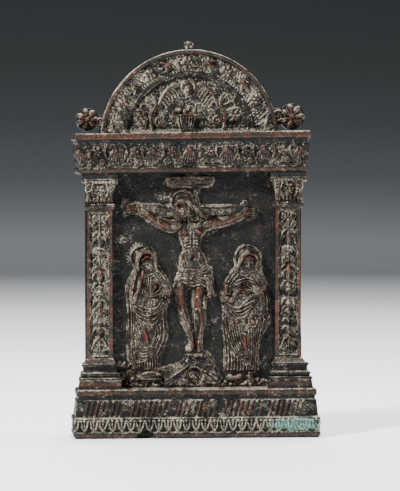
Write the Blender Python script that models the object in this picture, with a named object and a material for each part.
"""Cast bronze pax: a small architectural frame around a relief of the Crucifixion.

The real object is a single casting, so it is one closed body here. The plinth, pilasters,
entablature and crest are mouldings, and the figures and the ornament are worked out as heights
above them.

Sizes are in millimetres: x to the viewer's right, z up, and depth forward from the back of the plate.
"""

import math

import bmesh
import bpy
import numpy as np

MM = 0.001

# The frame as a whole; depths are from the back of the plate, and the leaf tips stand furthest forward
PLATE_HALF_WIDTH = 43.4
PLATE_BOTTOM = 17.4
PLATE_TOP = 119.0
PLATE_DEPTH = 2.5
PANEL_DEPTH = 3.5
PANEL_BOTTOM = 18.0
PANEL_TOP = 105.0
PANEL_HALF_WIDTH = 33.8
FOOT_BACK = -3.5
LEAF_TIP_DEPTH = 18.25
CENTRE_DEPTH = (LEAF_TIP_DEPTH + FOOT_BACK) / 2
SKEW_PER_MM = 0.00012
DRAFT = 0.09

# How deep each relief's flat back lies inside the plate, and how much wider it is than the front
PANEL_BACK = 0.9
PILASTER_BACK = 0.6
ENTABLATURE_BACK = 0.3
ROSETTE_BACK = 0.3
PLINTH_SPREAD = 0.7
ENTABLATURE_SPREAD = 1.9
PILASTER_SPREAD = 0.5

# Sunk field in the back: half width, bottom, top and depth
BACK_FIELD = (37.5, 26.0, 103.0)
BACK_FIELD_DEPTH = 1.3
BACK_FIELD_DRAFT = 0.6

# Grid cells of the reliefs, and how high a form is before folds show on it
CELL = 0.5
CLOSE_CELL = 0.3
FORM_HEIGHT = 0.4

# Mouldings, bottom to top: height, half width at the front, depth of the front
PLINTH_PROFILE = (
    (0.0, 47.5, 15.8),
    (0.9, 48.4, 16.8),
    (2.3, 48.8, 17.2),
    (2.9, 48.4, 16.6),
    (4.8, 48.6, 16.9),
    (6.6, 48.5, 16.3),
    (7.1, 48.9, 16.8),
    (8.1, 48.7, 16.5),
    (8.5, 47.9, 15.4),
    (14.9, 47.2, 14.4),
    (15.3, 46.7, 13.5),
    (16.7, 46.8, 13.6),
    (17.1, 47.3, 14.4),
    (19.0, 47.0, 14.1),
    (19.5, 46.5, 13.6),
)
ENTABLATURE_PROFILE = (
    (103.2, 45.0, 9.0),
    (105.5, 45.2, 9.3),
    (105.9, 46.2, 10.6),
    (107.8, 46.4, 10.8),
    (108.2, 46.0, 9.8),
    (117.6, 46.5, 10.1),
    (118.0, 46.8, 10.7),
    (118.9, 47.0, 11.3),
    (119.2, 47.6, 12.4),
    (121.2, 47.8, 12.7),
    (121.9, 47.4, 12.2),
)
# Pilaster mouldings: height, outer edge, inner edge, depth of the front
BASE_PROFILE = (
    (19.0, 46.6, 29.3, 13.1),
    (22.8, 46.1, 29.6, 12.7),
    (23.1, 46.5, 29.3, 13.3),
    (23.9, 46.4, 29.4, 13.2),
    (24.1, 45.6, 30.2, 11.7),
    (24.9, 45.5, 30.3, 11.6),
    (25.1, 45.9, 29.8, 12.6),
    (25.8, 45.8, 29.9, 12.5),
    (26.3, 44.9, 30.9, 10.7),
    (28.4, 44.8, 30.9, 10.4),
    (28.7, 45.2, 30.5, 11.4),
    (29.4, 45.1, 30.6, 11.3),
    (29.6, 44.5, 31.2, 10.3),
    (31.2, 43.4, 32.1, 8.9),
)
SHAFT_PROFILE = (
    (31.6, 43.2, 32.4, 7.4),
    (90.8, 42.6, 32.7, 7.4),
)
CAPITAL_PROFILE = (
    (91.1, 43.1, 32.4, 7.8),
    (91.8, 43.9, 31.8, 8.7),
    (92.5, 44.2, 31.5, 9.0),
    (93.4, 43.9, 31.8, 8.7),
    (94.1, 43.1, 32.5, 7.9),
    (95.6, 43.1, 32.5, 7.9),
    (98.0, 43.4, 32.2, 8.2),
    (100.6, 44.3, 31.3, 9.2),
    (101.6, 44.9, 30.7, 9.9),
    (102.0, 45.3, 30.4, 10.3),
    (103.5, 45.5, 30.2, 10.5),
)

# Pilaster panels, each a sunk field with a candelabrum on it
FIELD_INSET = 1.5
FIELD_END_INSET = 0.9
FIELD_DEPTH = 1.1
FIELD_SLOPE = 0.4
PILASTER_CENTRE = 37.9
PILASTER_COLUMNS = 40

# Crest: half-round lunette and the two rosettes beside it
CREST_X = -1.7
CREST_Z = 119.3
CREST_RADIUS = 35.8
CREST_PROFILE = (
    (1.0, 3.6),
    (25.3, 3.6),
    (25.7, 5.0),
    (26.8, 5.0),
    (27.2, 4.2),
    (33.7, 4.2),
    (34.2, 5.7),
    (35.4, 5.7),
    (35.8, 4.8),
)
CREST_STEPS = 160
CREST_RIM = 0.2
HEAD_X = -2.2
BAND_RADIUS = 30.4
BAND_PITCH = math.radians(16.5)
SIDE_ROSETTES = ((-42.6, 127.5, 4.7), (39.6, 127.5, 5.3))
SIDE_SCROLLS = ((-37.3, 126.6, 2.6), (34.0, 127.6, 3.6))
ROSETTE_DEPTH = 5.0
ROSETTE_CELLS = 24

# Repeats of the running ornament
FRIEZE_PITCH = 14.8
FRIEZE_CENTRE = -1.9
LEAF_PITCH = 6.1
STROKE_START = -43.0
STROKE_COUNT = 30
STROKE_PITCH = 2.9
STROKE_LEAN = 0.2
STROKE_HEIGHTS = (9.3, 14.3)
STROKE_BREAK = (11.3, 12.3)
STROKE_MIDDLE = 11.8

# Damage that the object shows: the broken loop, each level as rise, half width and half thickness,
# and the two places where metal is lost, each with its radius
STUMP_PLACE = (-2.0, 3.0, 156.0)
STUMP_LEVELS = ((-2.4, 2.7, 2.0), (0.6, 2.1, 1.5), (2.0, 1.5, 1.1))
STUMP_CORNERS = 9
STUMP_ROUGHNESS = 0.4
CHIP_PLACE = (-20.0, 17.4, 0.6)
CHIP_RADIUS = 2.3
WORN_CORNER_PLACE = (49.4, 17.6, 3.6)
WORN_CORNER_RADIUS = 1.9

# Most triangles for each relief
PANEL_BUDGET = 3780
CREST_BUDGET = 1500
ENTABLATURE_BUDGET = 1000
PILASTER_BUDGET = 800
PLINTH_BUDGET = 980
ROSETTE_BUDGET = 150
SCROLL_BUDGET = 70


def place(x, depth, z):
    """World position in metres of a place in millimetres."""
    return (x * MM, (CENTRE_DEPTH - depth) * MM, z * MM)


def new_object(name, bm, collection):
    """Turns a bmesh into an object of a collection, with its faces pointing outwards."""
    bmesh.ops.recalc_face_normals(bm, faces=bm.faces[:])
    mesh = bpy.data.meshes.new(name)
    bm.to_mesh(mesh)
    bm.free()
    made = bpy.data.objects.new(name, mesh)
    collection.objects.link(made)
    return made


def loft(name, rings, collection):
    """Closed body through rings of places with equally many corners, capped at both ends."""
    bm = bmesh.new()
    loops = [[bm.verts.new(place(*corner)) for corner in ring] for ring in rings]
    for lower, upper in zip(loops, loops[1:]):
        for here in range(len(lower)):
            after = (here + 1) % len(lower)
            bm.faces.new((lower[here], lower[after], upper[after], upper[here]))
    bm.faces.new(loops[0])
    bm.faces.new(loops[-1])
    return new_object(name, bm, collection)


def moulding(name, profile, back, collection):
    """Moulding that returns along both sides; each level is height, left, right and front depth."""
    rings = []
    for z, left, right, front in profile:
        spread = DRAFT * (front - back) / 2
        rings.append((
            (left - spread, back, z),
            (right + spread, back, z),
            (right, front, z),
            (left, front, z),
        ))
    return loft(name, rings, collection)


def slab(name, x, z, front, back, spread, budget, collection, keep=None):
    """Closed body with a worked front over a grid of places and a flat back, thinned to a budget.

    The back is wider than the front by the spread, as the sides of a casting slope to leave the mould.
    The places in keep, such as a round outline, are thinned last.
    """
    rows, columns = x.shape
    bm = bmesh.new()
    bmesh.ops.create_grid(bm, x_segments=columns - 1, y_segments=rows - 1, size=1)
    weights = bm.verts.layers.deform.verify()
    for vert in bm.verts:
        column = round((vert.co.x + 1) / 2 * (columns - 1))
        row = round((vert.co.y + 1) / 2 * (rows - 1))
        vert.co = place(x[row, column], front[row, column], z[row, column])
        vert[weights][0] = 0.0 if keep is None else float(keep[row, column])
    made = bmesh.ops.extrude_face_region(bm, geom=bm.faces[:])["geom"]
    for vert in made:
        if isinstance(vert, bmesh.types.BMVert):
            vert.co.x *= 1 + spread / PLATE_HALF_WIDTH
            vert.co.y = (CENTRE_DEPTH - back) * MM
    triangles = 4 * (rows - 1) * (columns - 1) + 4 * (rows + columns - 2)
    worked = new_object(name, bm, collection)
    if budget:
        worked.vertex_groups.new(name="outline")
        thin = worked.modifiers.new("thin", "DECIMATE")
        thin.ratio = budget / triangles
        thin.vertex_group = "outline"
        thin.invert_vertex_group = True
    return worked


def straight_grid(left, right, bottom, top, cell):
    """Places on an even grid over a rectangle of a face."""
    across = np.linspace(left, right, round((right - left) / cell) + 1)
    up = np.linspace(bottom, top, round((top - bottom) / cell) + 1)
    return np.meshgrid(across, up)


def arc_grid(centre, radii, angles):
    """Places on rings around a centre, from one angle to another."""
    ring, angle = np.meshgrid(radii, angles)
    return centre[0] + ring * np.cos(angle), centre[1] + ring * np.sin(angle)


def disc_grid(centre, radius, cells):
    """Places on a square grid bent to fill a disc, so that it has no pole and no seam."""
    u, v = np.meshgrid(np.linspace(-1, 1, cells + 1), np.linspace(-1, 1, cells + 1))
    return (centre[0] + radius * u * np.sqrt(1 - v * v / 2),
            centre[1] + radius * v * np.sqrt(1 - u * u / 2))


def smooth_path(points, steps=5):
    """Catmull-Rom curve through the points, as an array of places."""
    known = np.array(points, float)
    if len(known) < 3:
        return known
    padded = np.vstack([2 * known[0] - known[1], known, 2 * known[-1] - known[-2]])
    share = np.linspace(0, 1, steps, endpoint=False)[:, None]
    spans = []
    for first in range(len(known) - 1):
        a, b, c, d = padded[first:first + 4]
        spans.append(0.5 * (2 * b + (c - a) * share + (2 * a - 5 * b + 4 * c - d) * share ** 2
                            + (3 * b - a - 3 * c + d) * share ** 3))
    return np.vstack(spans + [known[-1:]])


def turned(points, centre, angle):
    """Points written around an origin, turned by an angle and moved to a centre."""
    cosine = math.cos(angle)
    sine = math.sin(angle)
    return [(centre[0] + px * cosine - pz * sine, centre[1] + px * sine + pz * cosine)
            for px, pz in points]


class Relief:
    """Heights of carving above a ground, over a grid of places on a face."""

    def __init__(self, x, z):
        self.x = x
        self.z = z
        self.height = np.zeros(x.shape)

    def window(self, points, margin):
        """Which places lie in the box around some points, widened by a margin."""
        low = np.min(points, axis=0) - margin
        high = np.max(points, axis=0) + margin
        return ((self.x > low[0]) & (self.x < high[0])
                & (self.z > low[1]) & (self.z < high[1]))

    def join(self, near, form, fillet=0.3):
        """Lays a form over what is there, with a small fillet where the two meet."""
        there = self.height[near]
        gap = np.clip(fillet - np.abs(there - form), 0, None)
        soft = gap ** 2 / (4 * fillet) * np.clip(form / fillet, 0, 1)
        self.height[near] = np.maximum(there, form) + soft

    def nearest(self, near, path):
        """Distance from each place to a path, and how far along the path its foot lies, 0 to 1."""
        x = self.x[near]
        z = self.z[near]
        runs = np.hypot(*np.diff(path, axis=0).T)
        reached = np.concatenate([[0], np.cumsum(runs)])
        best = np.full(x.shape, np.inf)
        share = np.zeros(x.shape)
        for (x0, z0), (x1, z1), run, start in zip(path, path[1:], runs, reached):
            along = np.clip(((x - x0) * (x1 - x0) + (z - z0) * (z1 - z0)) / run ** 2, 0, 1)
            away = np.hypot(x - x0 - along * (x1 - x0), z - z0 - along * (z1 - z0))
            closer = away < best
            best[closer] = away[closer]
            share[closer] = (start + along[closer] * run) / reached[-1]
        return best, share

    def limb(self, points, widths, heights, fillet=0.3):
        """Half-round form along a curve, its width and height tapering from stop to stop."""
        path = smooth_path(points)
        near = self.window(path, max(widths) / 2)
        away, share = self.nearest(near, path)
        half = np.interp(share, np.linspace(0, 1, len(widths)), widths) / 2
        top = np.interp(share, np.linspace(0, 1, len(heights)), heights)
        self.join(near, top * np.sqrt(np.clip(1 - (away / half) ** 2, 0, None)), fillet)

    def blade(self, points, widths, heights):
        """Gabled form along a curve, with a sharp spine, as a carved leaf has."""
        path = smooth_path(points, 3)
        near = self.window(path, max(widths) / 2)
        away, share = self.nearest(near, path)
        half = np.interp(share, np.linspace(0, 1, len(widths)), widths) / 2
        top = np.interp(share, np.linspace(0, 1, len(heights)), heights)
        self.join(near, top * np.clip(1 - away / half, 0, None), 0.05)

    def plank(self, points, width, height, edge=0.5):
        """Flat-topped bar along a straight path, with sloping edges."""
        path = np.array(points, float)
        near = self.window(path, width / 2)
        away, _ = self.nearest(near, path)
        self.join(near, height * np.clip((width / 2 - away) / edge, 0, 1))

    def mound(self, centre, size, height, turn=0.0):
        """Ellipsoid cap of a width and length, turned by an angle."""
        near = self.window([centre], max(size) / 2)
        dx = self.x[near] - centre[0]
        dz = self.z[near] - centre[1]
        across = (dx * math.cos(turn) + dz * math.sin(turn)) / (size[0] / 2)
        along = (dz * math.cos(turn) - dx * math.sin(turn)) / (size[1] / 2)
        self.join(near, height * np.sqrt(np.clip(1 - across ** 2 - along ** 2, 0, None)))

    def fold(self, points, width, rise):
        """Adds a rounded ridge to the form below, or a furrow where the rise is negative."""
        path = smooth_path(points)
        near = self.window(path, width)
        away, share = self.nearest(near, path)
        ends = np.clip(4 * np.minimum(share, 1 - share) + 0.4, 0, 1)
        on_form = np.clip(self.height[near] / FORM_HEIGHT - 1, 0, 1)
        self.height[near] += rise * ends * on_form * np.exp(-(away / (width / 2)) ** 2)

    def body(self, left, right, height, power=2.6):
        """Rounded form between a left and a right outline, both listed from the top down."""
        left = smooth_path(left)[::-1]
        right = smooth_path(right)[::-1]
        near = self.window(np.vstack([left, right]), 0.1)
        x = self.x[near]
        z = self.z[near]
        low = np.interp(z, left[:, 1], left[:, 0])
        high = np.interp(z, right[:, 1], right[:, 0])
        across = np.abs(2 * x - low - high) / (high - low)
        ends = np.minimum(z - left[0, 1], left[-1, 1] - z)
        rounding = np.sqrt(np.clip(ends, 0, 1))
        self.join(near, height * rounding * np.clip(1 - across ** power, 0, None) ** 0.5)

    def halo(self, centre, radius, height):
        """Low disc with a raised rim."""
        near = self.window([centre], radius)
        away = np.hypot(self.x[near] - centre[0], self.z[near] - centre[1])
        rim = 0.4 * np.exp(-((away - radius + 0.7) / 0.5) ** 2)
        self.join(near, (height + rim) * np.clip((radius - away) / 0.4, 0, 1))

    def rosette(self, centre, radius, petals, height):
        """Ring of rounded petals around a boss."""
        near = self.window([centre], radius)
        dx = self.x[near] - centre[0]
        dz = self.z[near] - centre[1]
        away = np.hypot(dx, dz) / radius
        lobe = np.abs(np.cos(petals / 2 * np.arctan2(dz, dx)))
        reach = 0.72 + 0.28 * lobe
        ring = np.sqrt(np.clip(1 - ((away - 0.55 * reach) / (0.45 * reach)) ** 2, 0, None))
        self.join(near, height * (0.55 + 0.45 * lobe) * ring)
        self.mound(centre, (0.6 * radius, 0.6 * radius), height * 1.1)

    def palmette(self, foot, width, rise, height, angle=0.0, fronds=5):
        """Pointed bud above a fan of fronds that curl outwards, standing on its foot."""
        for side in (-1, 1):
            for frond in range(1, fronds // 2 + 1):
                lean = frond / (fronds // 2)
                tip = (side * width / 2 * lean, rise * (0.78 - 0.42 * lean))
                knee = (side * width * 0.34 * lean, rise * (0.34 - 0.1 * lean))
                curve = turned([(0, 0), knee, tip], foot, angle)
                self.blade(curve, (0.5, 0.3 * width, 0.1 * width), (height, 0.8 * height))
        bud = turned([(0, 0.1 * rise), (0, 0.6 * rise), (0, rise)], foot, angle)
        self.blade(bud, (0.2 * width, 0.46 * width, 0.06 * width), (height, 1.3 * height, 0.8 * height))

    def volute(self, centre, radius, start, way, height):
        """Spiral scroll of one and a quarter turns that ends in a round eye."""
        turns = np.linspace(0, 1.25 * 2 * math.pi, 12)
        shrink = radius * (1 - 0.6 * turns / turns[-1]) * 0.8
        spiral = np.column_stack([centre[0] + shrink * np.cos(start + way * turns),
                                  centre[1] + shrink * np.sin(start + way * turns)])
        self.limb(spiral, (0.55 * radius, 0.4 * radius), (height, 0.8 * height))
        self.mound(centre, (0.7 * radius, 0.7 * radius), height)


def cross_and_hill(relief):
    """Cross with its bowed beam and scroll, and the hill with the skull in its niche."""
    relief.plank([(1.2, 31.0), (1.2, 106.0)], 2.6, 1.5)
    beam = ((-26.0, 92.5), (-8.9, 90.4), (3.0, 90.2), (25.0, 91.5))
    for left, right in zip(beam, beam[1:]):
        relief.plank([left, right], 4.4, 1.5)
    relief.plank([(-8.4, 102.2), (6.2, 102.4)], 3.8, 2.2)
    relief.mound((-8.8, 103.4), (2.4, 2.4), 2.6)
    relief.mound((6.5, 103.4), (2.2, 2.4), 2.6)
    relief.body([(-0.5, 34.2), (-4.6, 30.2), (-11.6, 27.6), (-12.6, 19.2)],
                [(3.4, 35.6), (5.6, 34.0), (8.6, 29.4), (12.4, 19.2)], 1.9, 4)
    relief.fold([(-3.2, 20.0), (-2.8, 25.0), (0.1, 27.9), (2.8, 25.6), (3.2, 20.0)], 1.2, 0.8)
    relief.fold([(0.1, 20.0), (0.1, 26.0)], 4.4, -1.2)
    relief.mound((0.2, 24.0), (4.4, 4.8), 2.6)
    relief.mound((0.3, 22.2), (2.6, 2.6), 2.2)
    relief.plank([(-2.8, 28.0), (-9.8, 23.7)], 1.6, 2.7)
    relief.plank([(3.3, 27.2), (8.9, 23.3)], 1.6, 2.7)
    relief.plank([(-2.0, 32.2), (3.4, 32.2)], 1.8, 3.0)
    for index in range(11):
        across = -27.5 + 5.4 * index
        relief.mound((across, 19.6), (6.4, 3.2 + 0.8 * math.sin(2.3 * index)), 2.0)


def crucified_figure(relief):
    """The figure on the cross: head bowed to the left, arms along the beam, feet crossed."""
    relief.halo((-3.8, 93.8), 4.9, 1.9)
    relief.limb([(-7.0, 83.8), (-15.0, 86.0), (-23.6, 91.4)], (3.8, 3.1, 2.2), (3.6, 3.2, 3.2))
    relief.limb([(4.8, 84.8), (13.8, 86.6), (22.2, 89.8)], (3.8, 3.1, 2.2), (3.6, 3.2, 3.2))
    relief.mound((-23.9, 91.6), (4.0, 3.6), 3.4)
    relief.mound((22.3, 89.8), (3.8, 3.6), 3.4)
    relief.body([(-5.6, 86.2), (-7.0, 83.0), (-5.4, 77.6), (-4.1, 74.2), (-5.0, 70.4), (-5.9, 66.0)],
                [(3.6, 86.6), (5.6, 83.4), (4.7, 77.6), (3.7, 74.2), (4.5, 70.6), (5.7, 66.0)], 3.5)
    relief.mound((-3.3, 81.4), (5.0, 3.8), 4.2, 0.15)
    relief.mound((2.5, 81.8), (5.0, 3.8), 4.2, -0.15)
    relief.mound((-0.3, 70.6), (6.4, 7.4), 4.1)
    relief.fold([(-4.3, 78.0), (-0.5, 79.6), (3.6, 78.4)], 1.0, -0.6)
    relief.limb([(-2.6, 88.0), (-1.0, 84.4)], (3.4, 3.8), (3.8, 3.4))
    relief.limb([(-1.6, 92.6), (1.2, 90.2), (2.8, 87.4), (3.2, 85.2)], (2.6, 3.6, 2.6, 1.4), (3.8, 3.6, 3.0))
    relief.mound((-3.9, 90.2), (5.2, 7.4), 4.6, -0.2)
    relief.mound((-3.2, 87.4), (3.2, 3.6), 4.4, -0.2)
    relief.limb([(-2.9, 65.0), (-4.3, 59.5), (-4.6, 54.6)], (5.6, 5.0, 3.8), (3.8, 4.2, 4.3))
    relief.limb([(-4.6, 54.6), (-3.2, 47.0), (0.1, 38.2)], (3.8, 3.6, 2.2), (4.3, 3.8, 3.0))
    relief.limb([(2.6, 65.0), (2.5, 59.5), (2.1, 54.0)], (5.6, 5.0, 3.8), (3.8, 4.2, 4.4))
    relief.limb([(2.1, 54.0), (2.9, 46.5), (2.5, 38.6)], (3.8, 3.6, 2.2), (4.4, 3.8, 3.0))
    relief.limb([(2.5, 38.6), (0.2, 34.0)], (2.4, 3.0), (3.2, 3.4))
    relief.limb([(0.1, 38.2), (2.9, 33.8)], (2.4, 3.0), (3.6, 3.8))
    relief.body([(-5.9, 69.4), (-6.0, 64.6), (-5.0, 60.2)], [(5.6, 70.0), (5.9, 64.6), (4.9, 58.6)], 4.5)
    for roll in range(4):
        drop = 1.75 * roll
        relief.fold([(-5.6, 67.2 - drop), (-0.4, 65.6 - 1.25 * drop), (5.2, 69.0 - drop)], 1.1, 0.65)
    relief.limb([(5.2, 66.4), (7.0, 60.6), (7.5, 55.4)], (2.0, 2.8, 3.0), (3.6, 3.2, 2.8))
    relief.limb([(4.0, 59.0), (4.7, 50.8)], (2.6, 1.8), (3.4, 2.8))


def mourner_left(relief):
    """Veiled woman, cheek on one hand, the mantle gathered over the other arm."""
    relief.halo((-20.6, 72.1), 4.9, 1.9)
    left = [(-20.0, 73.6), (-22.9, 68.8), (-26.4, 60.6), (-26.7, 50.0), (-26.3, 36.0), (-25.0, 26.0)]
    right = [(-17.4, 73.6), (-15.6, 70.0), (-9.8, 60.2), (-10.0, 54.0), (-10.1, 38.0), (-13.6, 26.0)]
    relief.body(left, right, 3.2)
    relief.mound((-18.4, 69.8), (6.8, 9.2), 4.4, 0.1)
    relief.mound((-18.2, 69.2), (4.4, 6.0), 4.9, 0.1)
    relief.limb([(-21.0, 67.8), (-23.4, 60.4), (-22.9, 54.6)], (2.4, 3.8, 4.6), (4.6, 4.3, 4.0))
    relief.limb([(-10.8, 57.4), (-12.4, 58.4), (-15.6, 60.6)], (3.6, 3.0, 2.6), (4.0, 4.1, 4.4))
    relief.limb([(-20.8, 54.6), (-17.2, 53.2), (-13.6, 54.6)], (3.6, 3.8, 2.6), (4.6, 4.6, 4.2))
    relief.mound((-19.2, 40.4), (4.0, 12.0), 4.3)
    for fall in range(5):
        drop = 2.15 * fall
        relief.fold([(-23.4, 50.6 - drop), (-16.8, 46.8 - 1.15 * drop), (-13.2, 50.4 - drop)], 1.2, 0.6)
    for nest in range(3):
        reach = 1.7 + 1.35 * nest
        relief.fold([(-20.4 - reach, 34.6), (-20.2, 31.6 - reach), (-20.0 + reach, 34.4)], 1.1, 0.55)
    for pleat in range(6):
        across = -23.6 + 1.75 * pleat
        relief.fold([(across, 30.2), (across + 0.2, 26.6)], 0.9, 0.55)
    relief.limb([(-11.2, 52.0), (-11.4, 44.0), (-11.4, 36.6)], (1.6, 2.2, 1.4), (3.4, 3.6, 3.0))
    relief.limb([(-19.8, 24.6), (-16.0, 24.2), (-12.8, 24.0)], (2.6, 2.8, 1.8), (3.2, 3.2, 2.6))
    for lump in range(4):
        relief.mound((-25.6 + 1.5 * lump, 23.4 + 2.6 * (lump % 2)), (3.6, 5.0), 2.9)


def mourner_right(relief):
    """Young man with long hair, hands clasped at the chest, the mantle slung across."""
    relief.halo((22.2, 71.8), 5.2, 1.9)
    relief.body([(20.2, 73.4), (17.6, 68.4), (11.9, 59.4), (11.6, 50.0), (11.9, 38.0), (13.5, 25.4)],
                [(24.2, 73.4), (26.4, 66.0), (30.6, 60.2), (30.8, 50.0), (29.2, 40.0), (26.8, 25.4)], 3.2)
    relief.mound((22.2, 69.8), (7.2, 9.4), 4.4)
    relief.mound((21.7, 69.2), (4.6, 6.2), 4.9, -0.1)
    relief.limb([(12.8, 56.4), (15.4, 56.6), (18.4, 58.6)], (4.2, 3.4, 2.6), (3.9, 4.2, 4.4))
    relief.limb([(28.6, 58.4), (25.0, 57.6), (21.0, 58.8)], (4.6, 3.8, 2.6), (3.9, 4.3, 4.4))
    relief.mound((19.6, 58.8), (3.2, 3.6), 5.0)
    relief.limb([(14.4, 52.6), (18.6, 51.4), (22.4, 54.0), (26.2, 58.0)], (2.2, 2.6, 2.2), (4.2, 4.6, 4.2))
    relief.mound((23.6, 45.8), (3.4, 3.8), 4.8)
    relief.mound((29.0, 47.0), (3.0, 5.0), 4.0)
    relief.mound((20.8, 37.2), (3.4, 9.0), 4.4)
    for fall in range(4):
        slide = 2.5 * fall
        relief.fold([(13.2 + 0.3 * slide, 50.0 - 1.1 * slide), (17.4 + 0.3 * slide, 42.6 - slide),
                     (22.4, 34.6 - 0.8 * slide)], 1.2, 0.6)
    for pleat in range(4):
        across = 23.6 + 1.6 * pleat
        relief.fold([(across + 1.0, 43.6), (across, 35.0), (across - 0.2, 27.4)], 1.0, 0.6)
    relief.fold([(13.0, 26.6), (18.0, 27.4), (22.6, 26.2), (27.2, 27.0)], 1.0, 0.6)
    relief.limb([(19.0, 24.6), (16.4, 23.8), (13.4, 22.8)], (2.6, 2.6, 1.8), (3.2, 3.2, 2.6))
    relief.limb([(22.2, 25.4), (22.8, 22.8), (23.0, 21.0)], (2.8, 3.2, 2.4), (3.2, 3.4, 2.8))


def candelabrum(relief, centre):
    """Stacked flowers, buds, vases and drops that climb a pilaster."""
    stem = [(centre, 33.0), (centre, 89.0)]
    relief.limb(stem, (0.9, 0.9), (1.2, 1.2))
    for z, radius in ((87.6, 2.2), (74.0, 2.1)):
        relief.rosette((centre, z), radius, 4, 1.9)
    for z, reach in ((84.5, 2.4), (71.1, 2.2), (59.0, 2.3), (43.2, 2.2)):
        for side in (-1, 1):
            relief.volute((centre + side * reach, z), 1.3, math.pi / 2, -side, 1.6)
    for z, width, rise in ((77.6, 3.0, 3.6), (65.0, 3.2, 3.6), (52.0, 2.8, 2.6)):
        bud = [(centre, z), (centre, z + rise / 2), (centre, z + rise)]
        relief.limb(bud, (width, width, 0.4), (1.9, 2.1, 1.5))
    drops = ((62.3, 1.9, 1.8), (58.2, 3.4, 3.6), (49.8, 3.2, 3.2), (46.1, 1.8, 1.4), (42.1, 3.4, 3.0))
    for z, width, rise in drops:
        relief.mound((centre, z), (width, rise), 2.1)
    for side in (-1, 1):
        for z in (79.0, 64.4, 49.0):
            leaf = [(centre + side * 0.8, z), (centre + side * 2.6, z + 2.2)]
            relief.limb(leaf, (0.9, 1.3, 0.5), (1.6, 1.3))
    relief.palmette((centre, 33.4), 6.0, 6.4, 1.8, fronds=7)


def frieze_ornament(relief):
    """Palmettes and small rosettes in turn, with leaves between them."""
    for index in range(-3, 4):
        centre = FRIEZE_CENTRE + FRIEZE_PITCH * index
        relief.palmette((centre, 109.6), 5.6, 7.0, 1.9, fronds=7)
        middle = centre + FRIEZE_PITCH / 2
        relief.rosette((middle, 113.4), 1.9, 5, 1.8)
        for side in (-1, 1):
            leaf = [(middle + side * 1.6, 110.0), (middle + side * 3.2, 112.4), (middle + side * 2.6, 116.0)]
            relief.blade(leaf, (0.8, 2.0, 0.6), (1.5, 1.3))


def capital_ornament(relief, centre):
    """A four-petalled flower between leaf volutes."""
    relief.rosette((centre, 98.8), 2.2, 4, 2.2)
    for side in (-1, 1):
        relief.volute((centre + side * 4.0, 99.8), 1.7, math.pi / 2, -side, 1.9)
        relief.limb([(centre + side * 4.6, 94.8), (centre + side * 3.8, 97.6)], (1.2, 2.2), (1.5, 1.9))
    for index in range(5):
        relief.mound((centre + 1.9 * (index - 2), 95.6), (1.7, 2.4), 1.7)


def mirrored(points, side):
    """Places written to the right of the winged head, on the left of it where side is -1."""
    return [(HEAD_X + side * across, z) for across, z in points]


def crest_ornament(relief):
    """Rosettes and buds around the band, and the winged head, bowl and scrolls of the tympanum."""
    for index in range(-4, 5):
        angle = math.pi / 2 + BAND_PITCH * index
        out = (math.cos(angle), math.sin(angle))
        centre = (CREST_X + BAND_RADIUS * out[0], CREST_Z + BAND_RADIUS * out[1])
        if index % 2 == 0:
            relief.rosette(centre, 2.7, 6, 2.0)
            continue
        foot = (CREST_X + 28.2 * out[0], CREST_Z + 28.2 * out[1])
        relief.palmette(foot, 5.2, 4.8, 1.8, angle - math.pi / 2)
    for side in (-1, 1):
        foot = (CREST_X + side * 30.4, CREST_Z + 3.4)
        relief.palmette(foot, 5.4, 7.0, 1.9, -side * 0.25, 7)
        relief.rosette((CREST_X + side * 18.6, 128.4), 2.8, 6, 2.4)
        upper_wing = [(1.6, 140.4), (5.4, 140.2), (9.6, 133.0)]
        relief.limb(mirrored(upper_wing, side), (2.2, 4.6, 1.4), (2.6, 2.6, 1.6))
        lower_wing = [(2.4, 138.0), (5.0, 134.4), (5.4, 130.6)]
        relief.limb(mirrored(lower_wing, side), (1.6, 2.8, 2.6), (2.2, 2.0, 2.4))
        relief.volute((HEAD_X + side * 10.8, 126.6), 2.2, 0, side, 2.0)
        inner_leaf = [(13.0, 123.8), (14.0, 128.8), (12.0, 133.2)]
        relief.limb(mirrored(inner_leaf, side), (1.4, 2.4, 1.0), (1.8, 2.0, 1.4))
        outer_leaf = [(19.6, 124.2), (21.6, 130.0), (18.0, 135.4)]
        relief.limb(mirrored(outer_leaf, side), (1.2, 2.2, 0.8), (1.6, 1.8, 1.2))
    relief.mound((HEAD_X, 139.8), (4.4, 4.8), 3.6)
    relief.limb([(-9.4, 128.6), (-1.6, 128.2), (5.4, 128.6)], (1.2, 1.8, 1.2), (2.2, 2.8, 2.2))
    bowl_left = [(-6.4, 128.0), (-5.4, 126.0), (-3.6, 122.6)]
    bowl_right = [(3.0, 128.0), (2.0, 126.0), (0.4, 122.6)]
    relief.body(bowl_left, bowl_right, 2.8)


def leaf_band(relief):
    """Leaves that hang from the ledge, with a dart between each two."""
    for index in range(-7, 9):
        centre = LEAF_PITCH * (index - 0.5)
        relief.blade([(centre, 6.5), (centre, 2.6)], (5.2, 2.8), (1.3, 1.2))
        relief.blade([(centre + LEAF_PITCH / 2, 6.9), (centre + LEAF_PITCH / 2, 3.4)], (0.9, 1.5), (0.9, 0.9))


def stroke_band(relief):
    """Plain parallel strokes and dots that stand for the worn inscription and spell nothing."""
    bottom, top = STROKE_HEIGHTS
    whole = ((bottom, top),)
    split = ((bottom, STROKE_BREAK[0]), (STROKE_BREAK[1], top))
    for index in range(STROKE_COUNT):
        centre = STROKE_START + STROKE_PITCH * index
        if index % 6 == 5:
            relief.mound((centre, STROKE_MIDDLE), (1.5, 1.5), 1.0)
            continue
        for low, high in split if index % 3 == 1 else whole:
            foot = centre + STROKE_LEAN * (low - STROKE_MIDDLE)
            head = centre + STROKE_LEAN * (high - STROKE_MIDDLE)
            relief.blade([(foot, low), (head, high)], (1.3, 1.3), (0.9, 0.9))


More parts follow.
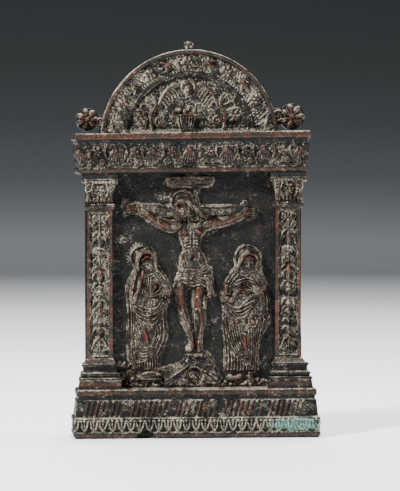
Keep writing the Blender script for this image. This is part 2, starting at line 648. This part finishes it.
def profile_depth(profile, place_along):
    """Depth of a moulding's front at a height, or of the crest's front at a radius."""
    return np.interp(place_along, [level[0] for level in profile], [level[-1] for level in profile])


def close_steps(edges, cell):
    """Every edge of a profile, with even steps of about a cell between each two."""
    steps = [np.linspace(low, high, max(1, round((high - low) / cell)), endpoint=False)
             for low, high in zip(edges, edges[1:])]
    return np.concatenate(steps + [edges[-1:]])


def moulded_slab(name, profile, columns, back, spread, carve, budget, collection):
    """Moulding with carving; each level of its profile is height, left, right and front depth."""
    levels = np.array(profile)
    rows = close_steps(levels[:, 0], CLOSE_CELL)
    left = np.interp(rows, levels[:, 0], levels[:, 1])[:, None]
    right = np.interp(rows, levels[:, 0], levels[:, 2])[:, None]
    x = left + (right - left) * columns[None, :]
    z = np.tile(rows[:, None], (1, len(columns)))
    relief = Relief(x, z)
    carve(relief)
    front = profile_depth(profile, z) + relief.height
    return slab(name, x, z, front, back, spread, budget, collection)


def full_width(profile):
    """A moulding across the whole front, as height, left, right and depth."""
    return [(z, -half, half, front) for z, half, front in profile]


def pilaster_levels(side):
    """Base, shaft and capital in one profile, on the left where side is -1."""
    levels = []
    for z, outer, inner, front in BASE_PROFILE + SHAFT_PROFILE + CAPITAL_PROFILE:
        edges = sorted((side * outer, side * inner))
        levels.append((z, edges[0], edges[1], front))
    return levels


def build_plinth(collection):
    """Stepped plinth with its leaf band and its lettered band."""
    def carve(relief):
        leaf_band(relief)
        stroke_band(relief)

    levels = full_width(PLINTH_PROFILE)
    columns = np.linspace(0, 1, round(2 * PLINTH_PROFILE[0][1] / CLOSE_CELL) + 1)
    moulded_slab("plinth", levels, columns, FOOT_BACK, PLINTH_SPREAD, carve, PLINTH_BUDGET, collection)


def build_entablature(collection):
    """Architrave, carved frieze and cornice."""
    levels = full_width(ENTABLATURE_PROFILE)
    columns = np.linspace(0, 1, round(2 * ENTABLATURE_PROFILE[0][1] / CLOSE_CELL) + 1)
    moulded_slab("entablature", levels, columns, ENTABLATURE_BACK, ENTABLATURE_SPREAD, frieze_ornament,
                 ENTABLATURE_BUDGET, collection)


def build_pilaster(side, collection):
    """Pilaster with a sunk field, a candelabrum on it and a carved capital."""
    centre = side * PILASTER_CENTRE
    width = SHAFT_PROFILE[0][1] - SHAFT_PROFILE[0][2]
    inset = FIELD_INSET / width
    slope = FIELD_SLOPE / width
    field_bottom = SHAFT_PROFILE[0][0] + FIELD_END_INSET
    field_top = SHAFT_PROFILE[1][0] - FIELD_END_INSET

    def carve(relief):
        candelabrum(relief, centre)
        capital_ornament(relief, centre)
        share = np.linspace(0, 1, relief.x.shape[1])[None, :]
        edge = (np.minimum(share, 1 - share) - inset) / slope
        ends = np.minimum(relief.z - field_bottom, field_top - relief.z) / FIELD_SLOPE
        relief.height -= FIELD_DEPTH * np.clip(np.minimum(edge, ends), 0, 1)

    levels = pilaster_levels(side)
    columns = np.linspace(0, 1, PILASTER_COLUMNS)
    name = "left_pilaster" if side < 0 else "right_pilaster"
    moulded_slab(name, levels, columns, PILASTER_BACK, PILASTER_SPREAD, carve, PILASTER_BUDGET, collection)


def build_panel(collection):
    """Ground of the scene with the cross, the hill and the three figures."""
    x, z = straight_grid(-PANEL_HALF_WIDTH, PANEL_HALF_WIDTH, PANEL_BOTTOM, PANEL_TOP, CELL)
    relief = Relief(x, z)
    cross_and_hill(relief)
    crucified_figure(relief)
    mourner_left(relief)
    mourner_right(relief)
    slab("scene", x, z, PANEL_DEPTH + relief.height, PANEL_BACK, 0.0, PANEL_BUDGET, collection)


def build_crest(collection):
    """Half-round lunette with its rims, and the rosettes and scrolls beside it."""
    radii = close_steps([level[0] for level in CREST_PROFILE], CELL)
    x, z = arc_grid((CREST_X, CREST_Z), radii, np.linspace(math.pi, 0, CREST_STEPS + 1))
    relief = Relief(x, z)
    crest_ornament(relief)
    ring = np.hypot(x - CREST_X, z - CREST_Z)
    front = profile_depth(CREST_PROFILE, ring) + relief.height
    slab("lunette", x, z, front, 0.0, 0.0, CREST_BUDGET, collection, ring > CREST_RADIUS - CREST_RIM)
    for number, (x0, z0, radius) in enumerate(SIDE_ROSETTES + SIDE_SCROLLS):
        x, z = disc_grid((x0, z0), radius, ROSETTE_CELLS)
        relief = Relief(x, z)
        if number < len(SIDE_ROSETTES):
            relief.rosette((x0, z0), radius - 0.5, 7, 1.9)
            budget = ROSETTE_BUDGET
        else:
            relief.volute((x0, z0), radius - 0.4, 0.0, math.copysign(1, x0), 1.4)
            budget = SCROLL_BUDGET
        front = ROSETTE_DEPTH + relief.height
        slab(f"crest_disc_{number}", x, z, front, ROSETTE_BACK, 0.0, budget, collection)


def build_stump(collection):
    """Broken root of the loop on top of the crest."""
    x0, depth, z0 = STUMP_PLACE
    turns = np.linspace(0, 2 * math.pi, STUMP_CORNERS, endpoint=False)
    rings = []
    for rise, width, thickness in STUMP_LEVELS:
        rings.append([(x0 + width * math.cos(turn),
                       depth + thickness * math.sin(turn),
                       z0 + rise + STUMP_ROUGHNESS * math.sin(3 * turn)) for turn in turns])
    loft("loop_stump", rings, collection)


def back_cutter(collection):
    """Shallow rough-cast field in the back of the plate, inside a plain rim."""
    half, bottom, top = BACK_FIELD
    rings = []
    for depth, grow in ((-1.0, BACK_FIELD_DRAFT), (BACK_FIELD_DEPTH, 0.0)):
        rings.append([(-half - grow, depth, bottom - grow), (half + grow, depth, bottom - grow),
                      (half + grow, depth, top + grow), (-half - grow, depth, top + grow)])
    return loft("back_field_cutter", rings, collection)


def damage_cutters(collection):
    """Chip in the bottom edge and the corner worn away beside the green patch."""
    places = (
        ("chip_cutter", CHIP_PLACE, CHIP_RADIUS),
        ("corner_cutter", WORN_CORNER_PLACE, WORN_CORNER_RADIUS),
    )
    cutters = []
    for name, centre, radius in places:
        bm = bmesh.new()
        bmesh.ops.create_icosphere(bm, subdivisions=1, radius=radius * MM)
        bmesh.ops.translate(bm, verts=bm.verts[:], vec=place(*centre))
        cutters.append(new_object(name, bm, collection))
    return cutters


def boolean(body, name, operation, target):
    """Joins or cuts the body with an object, or with every object of a collection."""
    change = body.modifiers.new(name, "BOOLEAN")
    change.operation = operation
    change.solver = "EXACT"
    if isinstance(target, bpy.types.Collection):
        change.operand_type = "COLLECTION"
        change.collection = target
    else:
        change.object = target


def skewed(body):
    """Gives the joined body the slight skew of the real casting, which is taller to the right."""
    graph = bpy.context.evaluated_depsgraph_get()
    joined = bpy.data.meshes.new_from_object(body.evaluated_get(graph))
    for vert in joined.vertices:
        vert.co.z *= 1 + SKEW_PER_MM * vert.co.x / MM
    body.modifiers.clear()
    body.data = joined


def bronze():
    """Dark brown patina over red bronze."""
    material = bpy.data.materials.new("patinated_bronze")
    material.use_nodes = True
    shader = material.node_tree.nodes["Principled BSDF"]
    shader.inputs["Base Color"].default_value = (0.045, 0.030, 0.020, 1.0)
    shader.inputs["Metallic"].default_value = 0.7
    shader.inputs["Roughness"].default_value = 0.45
    return material


def new_collection(name, hidden):
    """A collection under the scene, whose objects the render shows or not."""
    made = bpy.data.collections.new(name)
    made.hide_render = hidden
    bpy.context.scene.collection.children.link(made)
    return made


for leftover in list(bpy.data.objects):
    bpy.data.objects.remove(leftover)

pax = new_collection("pax", False)
cast_pieces = new_collection("cast_pieces", True)
cutting_pieces = new_collection("cutting_pieces", True)

plate_levels = [(z, -PLATE_HALF_WIDTH, PLATE_HALF_WIDTH, PLATE_DEPTH) for z in (PLATE_BOTTOM, PLATE_TOP)]
casting = moulding("pax_casting", plate_levels, 0.0, pax)
casting.data.materials.append(bronze())

build_plinth(cast_pieces)
build_panel(cast_pieces)
for side in (-1, 1):
    build_pilaster(side, cast_pieces)
build_entablature(cast_pieces)
build_crest(cast_pieces)
build_stump(cast_pieces)

boolean(casting, "one_casting", "UNION", cast_pieces)
for cutter in [back_cutter(cutting_pieces)] + damage_cutters(cutting_pieces):
    boolean(casting, cutter.name, "DIFFERENCE", cutter)

skewed(casting)

for helper in list(cast_pieces.objects) + list(cutting_pieces.objects):
    helper.hide_render = True
    helper.display_type = "WIRE"
